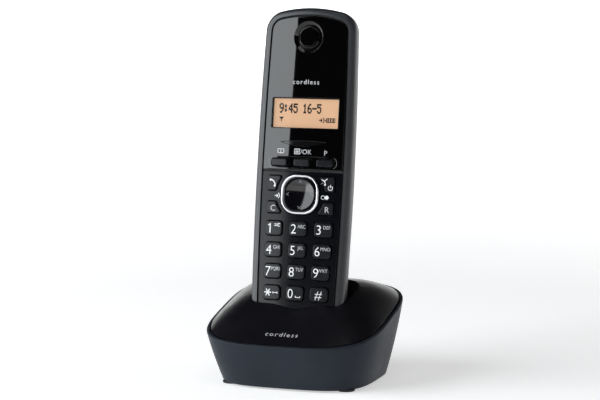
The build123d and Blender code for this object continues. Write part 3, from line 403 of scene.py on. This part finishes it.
def nib(name, x, v, body):
    """Small raised bar that marks the middle key."""
    shape = bmesh.new()
    bmesh.ops.create_uvsphere(shape, u_segments=16, v_segments=8, radius=1)
    for vertex in shape.verts:
        a, b, c = vertex.co
        vertex.co = on_handset(x + a * 0.9, v + b * 0.28, 0.85 + c * 0.28)
    mesh = bpy.data.meshes.new(name)
    shape.to_mesh(mesh)
    shape.free()
    for polygon in mesh.polygons:
        polygon.use_smooth = True
    piece = bpy.data.objects.new(name, mesh)
    bpy.context.scene.collection.objects.link(piece)
    mesh.materials.append(key_plastic)
    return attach(piece, body)


nib("key_5_nib", 0, DIAL_TOP - DIAL_PITCH - 2.75, "key_5")

talk = handset_sheet(["talk_key"], "talk_key")
polygons("talk_print", shifted(HANDSET_ICON, 0, 0, -50, 0.95), talk, -14.2, 72.1, white_ink)
off = handset_sheet(["off_key"], "off_key")
off_marks = shifted(HANDSET_ICON, -1.5, 1.3, -50, 0.78) + [bar(-2.9, 0.0, 0.2, 2.8, 0.35)]
off_marks += arc(1.9, -1.7, 1.1, -240, 60, 0.3, 12) + [bar(1.9, -1.6, 1.9, -0.1, 0.3)]
polygons("off_print", off_marks, off, 13.6, 71.8, white_ink)
SIDE_LETTER_V = 59.4
for name, letter, x in (("clear", "C", -13.8), ("recall", "R", 14.4)):
    sheet = handset_sheet([name + "_key"], name + "_key")
    lettering(name + "_print", letter, sheet, x, SIDE_LETTER_V, 2.9, grey_ink, -0.05)

fascia = handset_sheet(["front_fascia"])
lettering("fascia_word", "cordless", fascia, 0, 122.0, 2.3, grey_ink, spacing=1.25)
COVER_SPOT = Vector((0, -34.6, 27.2)) * MM     # on the front of the base's cover
COVER_UP = Vector((0, 0.852, 0.523))
cover_sheet = Sheet(COVER_SPOT, RIGHT, COVER_UP, ["base_cover"], "base")
lettering("cover_word", "cordless", cover_sheet, 0, 0, 2.8, grey_ink, spacing=1.25)
# Painted highlight: thin lines on the fascia round both ends of the soft keys' slot stand in for the
# glint on the slot's rounded edges.
SLOT_V = 82.25
SLOT_END = 14.8
SLOT_EDGE_RADIUS = 2.95
for name, middle, start in (("slot_highlight_left", -SLOT_END, 120), ("slot_highlight_right", SLOT_END, -60)):
    edge = arc(middle, SLOT_V, SLOT_EDGE_RADIUS, start, start + 120, 0.2)
    polygons(name, edge, fascia, 0, 0, dim_ink_and_highlight)
book = []
for side in (-1, 1):
    book += [bar(side * 1.6, -0.9, side * 1.6, 1.0, 0.2), bar(side * 1.6, -0.9, 0, -1.1, 0.2)]
    book += [bar(side * 1.6, 1.0, 0, 0.8, 0.2)]
book += [bar(0, -1.1, 0, 0.8, 0.2)]
polygons("book_icon", book, fascia, -11.4, 87.7, white_ink)
menu = [bar(-0.9, level, 0.9, level, 0.24) for level in (-0.7, 0, 0.7)]
menu += [bar(-1.35, -1.2, -1.35, 1.2, 0.2), bar(1.35, -1.2, 1.35, 1.2, 0.2),
         bar(-1.4, 1.25, 1.4, 1.25, 0.2), bar(-1.4, -1.25, 1.4, -1.25, 0.2)]
polygons("menu_icon", menu, fascia, -2.7, 87.6, white_ink)
lettering("menu_word", "/OK", fascia, 1.9, 87.5, 2.3, grey_ink, -0.05)
lettering("pause_word", "P", fascia, 12.0, 87.2, 2.4, grey_ink, -0.05)

bezel = handset_sheet(["keypad_bezel"])
redial = [bar(-1.4, 0, 0.3, 0, 0.35), bar(0.35, 0, -0.35, 0.7, 0.35), bar(0.35, 0, -0.35, -0.7, 0.35)]
redial += arc(-0.6, 0, 1.7, -50, 50, 0.35, 8)
polygons("redial_icon", redial, bezel, -12.2, 65.5, white_ink)
message = [disc(0.95, 0, 1.0)] + arc(-0.95, 0, 0.9, 0, 360, 0.25, 16)
polygons("message_icon", message, bezel, 12.6, 65.4, white_ink)

nav = handset_sheet(["nav_key"], "nav")
NAV_V = 66.4
ARROW_REACH = 6.3
ARROWS = [
    ("up", 0, ARROW_REACH, 0), ("down", 0, -ARROW_REACH, 180),
    ("left", -ARROW_REACH, 0, 90), ("right", ARROW_REACH, 0, 270),
]
for name, a, b, turn in ARROWS:
    arrow = shifted([bar(-0.75, -0.6, 0.05, 0.7, 0.28), bar(0.75, -0.6, -0.05, 0.7, 0.28)], 0, 0, turn)
    polygons("nav_arrow_" + name, arrow, nav, a, NAV_V + b, dim_ink_and_highlight)

# The display's marks, in square dots like those of the real matrix.
DOTS = {
    "9": ["01110", "10001", "10001", "01111", "00001", "00010", "01100"],
    "4": ["00010", "00110", "01010", "10010", "11111", "00010", "00010"],
    "5": ["11111", "10000", "11110", "00001", "00001", "10001", "01110"],
    "6": ["00110", "01000", "10000", "11110", "10001", "10001", "01110"],
    "1": ["00100", "01100", "00100", "00100", "00100", "00100", "01110"],
    ":": ["00000", "01100", "01100", "00000", "01100", "01100", "00000"],
    "-": ["00000", "00000", "00000", "11111", "00000", "00000", "00000"],
    " ": ["00000"] * 7,
}
DOT_X = 0.41
DOT_V = 0.66
DOTS_LEFT = -14.1
DOTS_TOP = 111.4
DOT_WIDE = 0.68                 # dots are drawn larger than their pitch, so that strokes join
DOT_TALL = 0.84
display = handset_sheet(["lcd_panel"])
dots = []
for place, mark in enumerate("9:45 16-5"):
    for line, pattern in enumerate(DOTS[mark]):
        for column, lit in enumerate(pattern):
            if lit == "1":
                a = DOTS_LEFT + (place * 6 + column) * DOT_X
                b = DOTS_TOP - line * DOT_V
                dots.append([(a, b), (a + DOT_WIDE, b), (a + DOT_WIDE, b - DOT_TALL), (a, b - DOT_TALL)])
polygons("display_digits", dots, display, 0, 0, display_ink_and_shade)
aerial = [[(-1.3, 1.1), (1.3, 1.1), (0, -0.3)], bar(0, 0.2, 0, -1.2, 0.5)]
polygons("display_aerial", aerial, display, -12.7, 103.6, display_ink_and_shade)
status = [bar(-1.3, 0, 0.4, 0, 0.5), bar(0.45, 0, -0.3, 0.85, 0.45), bar(0.45, 0, -0.3, -0.85, 0.45)]
status += arc(-0.4, 0, 1.8, -45, 45, 0.5, 6)
polygons("display_status", status, display, 8.2, 103.4, display_ink_and_shade)
battery = [bar(-2.2, 0.95, 2.2, 0.95, 0.4), bar(-2.2, -0.95, 2.2, -0.95, 0.4),
           bar(2.2, -1.1, 2.2, 1.1, 0.4), bar(-2.2, -0.95, -2.2, 0.95, 0.4),
           bar(-2.6, -0.4, -2.6, 0.4, 0.5)]
battery += [bar(step * 1.3, -0.7, step * 1.3, 0.7, 0.75) for step in (-1, 0, 1)]
polygons("display_battery", battery, display, 13.0, 103.4, display_ink_and_shade)

LCD_MIDDLE = 106.6
LCD_HALF_WIDE = 17.4
LCD_HALF_TALL = 7.6
# Painted shade: dark bars along the panel's edge stand in for the shade cast by the recess walls round
# the display window.
recess_shade_bars = []
for side in (-1, 1):
    edge = side * LCD_HALF_WIDE
    recess_shade_bars.append(bar(edge, -LCD_HALF_TALL, edge, LCD_HALF_TALL, 1.1))
    edge = side * LCD_HALF_TALL
    recess_shade_bars.append(bar(-LCD_HALF_WIDE, edge, LCD_HALF_WIDE, edge, 0.9))
polygons("display_recess_shade", recess_shade_bars, display, 0, LCD_MIDDLE, display_ink_and_shade)

# ----------------------------------------------------------------- stage
floor_mesh = bpy.data.meshes.new("floor")
floor_shape = bmesh.new()
bmesh.ops.create_grid(floor_shape, x_segments=1, y_segments=1, size=4.0)
floor_shape.to_mesh(floor_mesh)
floor_shape.free()
floor = bpy.data.objects.new("floor", floor_mesh)
bpy.context.scene.collection.objects.link(floor)
floor_material, floor_tree, floor_shader, floor_coords = new_material("floor")
floor_tint = ramp(floor_tree, noise(floor_tree, floor_coords, 3), (0.86, 0.86, 0.86), (0.88, 0.88, 0.88))
floor_tree.links.new(floor_tint, floor_shader.inputs["Base Color"])
floor_shader.inputs["Roughness"].default_value = 0.9
floor_shader.inputs["Specular IOR Level"].default_value = 0.0
floor_tree.links.new(floor_tint, floor_shader.inputs["Emission Color"])
distance = floor_tree.nodes.new("ShaderNodeVectorMath")
distance.operation = "LENGTH"
floor_tree.links.new(floor_coords, distance.inputs[0])
glow = floor_tree.nodes.new("ShaderNodeMapRange")
glow.inputs["From Min"].default_value = 0.3
glow.inputs["From Max"].default_value = 1.2
glow.inputs["To Min"].default_value = 0.55
glow.inputs["To Max"].default_value = 1.2
floor_tree.links.new(distance.outputs["Value"], glow.inputs["Value"])
floor_tree.links.new(glow.outputs["Result"], floor_shader.inputs["Emission Strength"])
floor_mesh.materials.append(floor_material)     # its glow grows with distance, so it stays pale

backdrop_mesh = bpy.data.meshes.new("backdrop")
backdrop_shape = bmesh.new()
WALL_SIDES = 48
WALL_RADIUS = 3.6
WALL_LOW = 0.45
WALL_RISE = 0.9           # the studio wall is tallest behind the object
foot_ring = []
head_ring = []
for side in range(WALL_SIDES):
    turn = 2 * pi * side / WALL_SIDES
    height = WALL_LOW + WALL_RISE * max(0, sin(turn))
    x = WALL_RADIUS * cos(turn)
    y = WALL_RADIUS * sin(turn)
    foot_ring.append(backdrop_shape.verts.new((x, y, -0.01)))
    head_ring.append(backdrop_shape.verts.new((x, y, height)))
for side in range(WALL_SIDES):
    after = (side + 1) % WALL_SIDES
    backdrop_shape.faces.new([foot_ring[side], foot_ring[after], head_ring[after], head_ring[side]])
backdrop_shape.to_mesh(backdrop_mesh)
backdrop_shape.free()
backdrop = bpy.data.objects.new("backdrop", backdrop_mesh)
bpy.context.scene.collection.objects.link(backdrop)
backdrop_material, backdrop_tree, backdrop_shader, backdrop_coords = new_material("backdrop")
backdrop_shader.inputs["Base Color"].default_value = (0.8, 0.8, 0.8, 1)
backdrop_shader.inputs["Emission Color"].default_value = (1, 1, 1, 1)
backdrop_shader.inputs["Emission Strength"].default_value = 1.0
backdrop_mesh.materials.append(backdrop_material)

world = bpy.data.worlds.new("studio")
world.use_nodes = True
bpy.context.scene.world = world
background = world.node_tree.nodes["Background"]
background.inputs["Color"].default_value = (1.0, 1.0, 1.0, 1)
background.inputs["Strength"].default_value = 0.02
bpy.context.scene.view_settings.view_transform = "Standard"


def softbox(name, centre, target, width, height, power, colour=(1, 1, 1)):
    lamp = bpy.data.lights.new(name, "AREA")
    lamp.shape = "RECTANGLE"
    lamp.size = width
    lamp.size_y = height
    lamp.energy = power
    lamp.color = colour
    rig = bpy.data.objects.new(name, lamp)
    rig.location = centre
    rig.rotation_euler = (Vector(target) - Vector(centre)).to_track_quat("-Z", "Y").to_euler()
    bpy.context.scene.collection.objects.link(rig)
    return rig


softbox("key_left", (-0.90, -0.66, 0.38), (0, -0.02, 0.11), 1.15, 1.3, 24, (0.93, 0.97, 1.0))
softbox("top", (0.25, -0.45, 1.5), (0, 0, 0.05), 0.8, 0.6, 2.0)
softbox("rim_right", (0.95, 0.55, 0.35), (0, 0, 0.10), 0.25, 0.9, 2)

camera_data = bpy.data.cameras.new("camera")
camera_data.sensor_width = 36
camera_data.lens = 126.8
camera = bpy.data.objects.new("camera", camera_data)
camera.location = Vector((345.82, -980.12, 214.69)) * MM
aim = Vector((-6.21, 9.05, 87.64)) * MM
camera.rotation_euler = (aim - camera.location).to_track_quat("-Z", "Y").to_euler()
camera_data.clip_start = 0.05
camera_data.clip_end = 20
bpy.context.scene.collection.objects.link(camera)
bpy.context.scene.camera = camera
